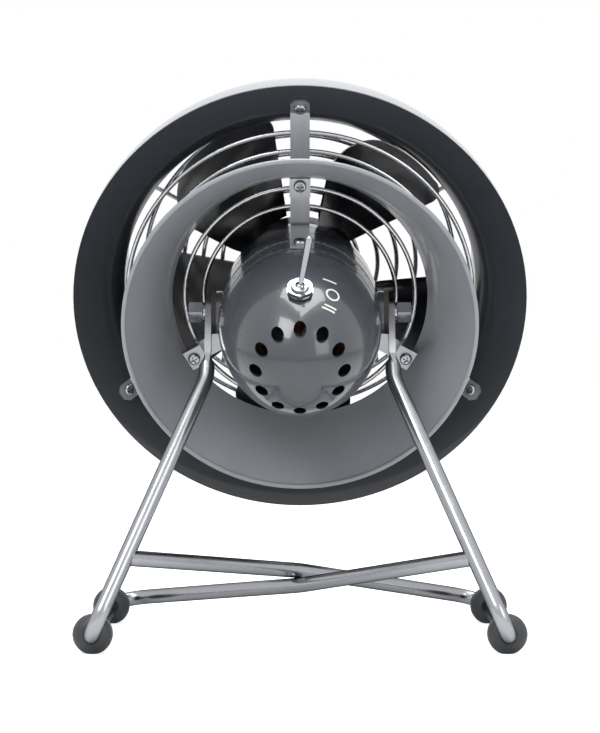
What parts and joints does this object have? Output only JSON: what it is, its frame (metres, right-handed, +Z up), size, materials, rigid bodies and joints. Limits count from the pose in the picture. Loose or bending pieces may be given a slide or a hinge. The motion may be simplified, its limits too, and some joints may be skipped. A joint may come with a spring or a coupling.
{
  "type": "air circulator fan",
  "caption": "Tilting air circulator: ducted fan head with flared inlet shells, egg-shaped motor and wire grilles, held between the legs of a bent tube stand.",
  "frame": {"origin": "centre of the footprint at floor level, under the middle of the whole fan at rest", "axes": "+Y the way the air leaves, +Z up, +X to the right seen from behind the motor"},
  "size_m": [0.298, 0.2436, 0.3634],
  "materials": {
    "plated_tube": "bright chrome plating on steel tube",
    "foot_rubber": "satin moulded rubber",
    "plated_hardware": "bright chrome plating",
    "friction_fibre": "matte pressed fibre",
    "silver_enamel": "gloss silver enamel",
    "charcoal_enamel": "gloss charcoal enamel",
    "grey_enamel": "satin grey metallic enamel",
    "satin_strap": "satin rolled steel",
    "bright_wire": "bright drawn wire",
    "housing_enamel": "gloss dark grey enamel",
    "cast_alloy": "as cast",
    "core_steel": "varnished laminations",
    "winding_copper": "enamelled copper wire",
    "bearing_steel": "ground steel",
    "switch_moulding": "red brown moulding",
    "blade_moulding": "gloss black moulding"
  },
  "bodies": {
    "stand": {"left_stand_tube": "plated_tube", "left_rear_foot": "foot_rubber", "left_front_foot": "foot_rubber", "left_pivot_bolt": "plated_hardware", "left_lock_washer": "plated_hardware", "left_friction_disc": "friction_fibre", "right_stand_tube": "plated_tube", "right_rear_foot": "foot_rubber", "right_front_foot": "foot_rubber", "right_pivot_bolt": "plated_hardware", "right_lock_washer": "plated_hardware", "right_friction_disc": "friction_fibre"},
    "head": {"outer_cowl": "silver_enamel", "inlet_bell": "charcoal_enamel", "rear_cone": "grey_enamel", "top_strap": "satin_strap", "left_strap": "satin_strap", "right_strap": "satin_strap", "bell_screws": "plated_hardware", "cone_screws": "plated_hardware", "housing_screws": "plated_hardware", "rear_grille": "bright_wire", "front_grille": "bright_wire", "front_disc": "satin_strap", "motor_tail_housing": "housing_enamel", "motor_front_cover": "housing_enamel", "bearing_spider": "cast_alloy", "stator_core": "core_steel", "stator_windings": "winding_copper", "front_bearing": "bearing_steel", "rear_bearing": "bearing_steel", "toggle_bush": "plated_hardware", "toggle_case": "switch_moulding", "toggle_nut": "plated_hardware"},
    "lever": {"toggle_lever": "plated_hardware"},
    "rotor": {"motor_shaft": "bearing_steel", "rotor_core": "core_steel", "impeller": "blade_moulding", "spinner_nut": "plated_hardware"}
  },
  "joints": [
    {"name": "head_tilt", "type": "hinge", "parent": "stand", "child": "head", "pos_m": [0, -0.00825, 0.2115], "axis": [1, 0, 0], "range_deg": [-22.8, 67.2]},
    {"name": "toggle_throw", "type": "hinge", "parent": "head", "child": "lever", "pos_m": [0, -0.09088, 0.2266], "axis": [0.866, -0.3492, -0.3578], "range_deg": [0, 38]},
    {"name": "rotor_spin", "type": "hinge", "parent": "head", "child": "rotor", "pos_m": [0, -0.00825, 0.2115], "axis": [0, 0.9219, 0.3875], "continuous": true}
  ]
}
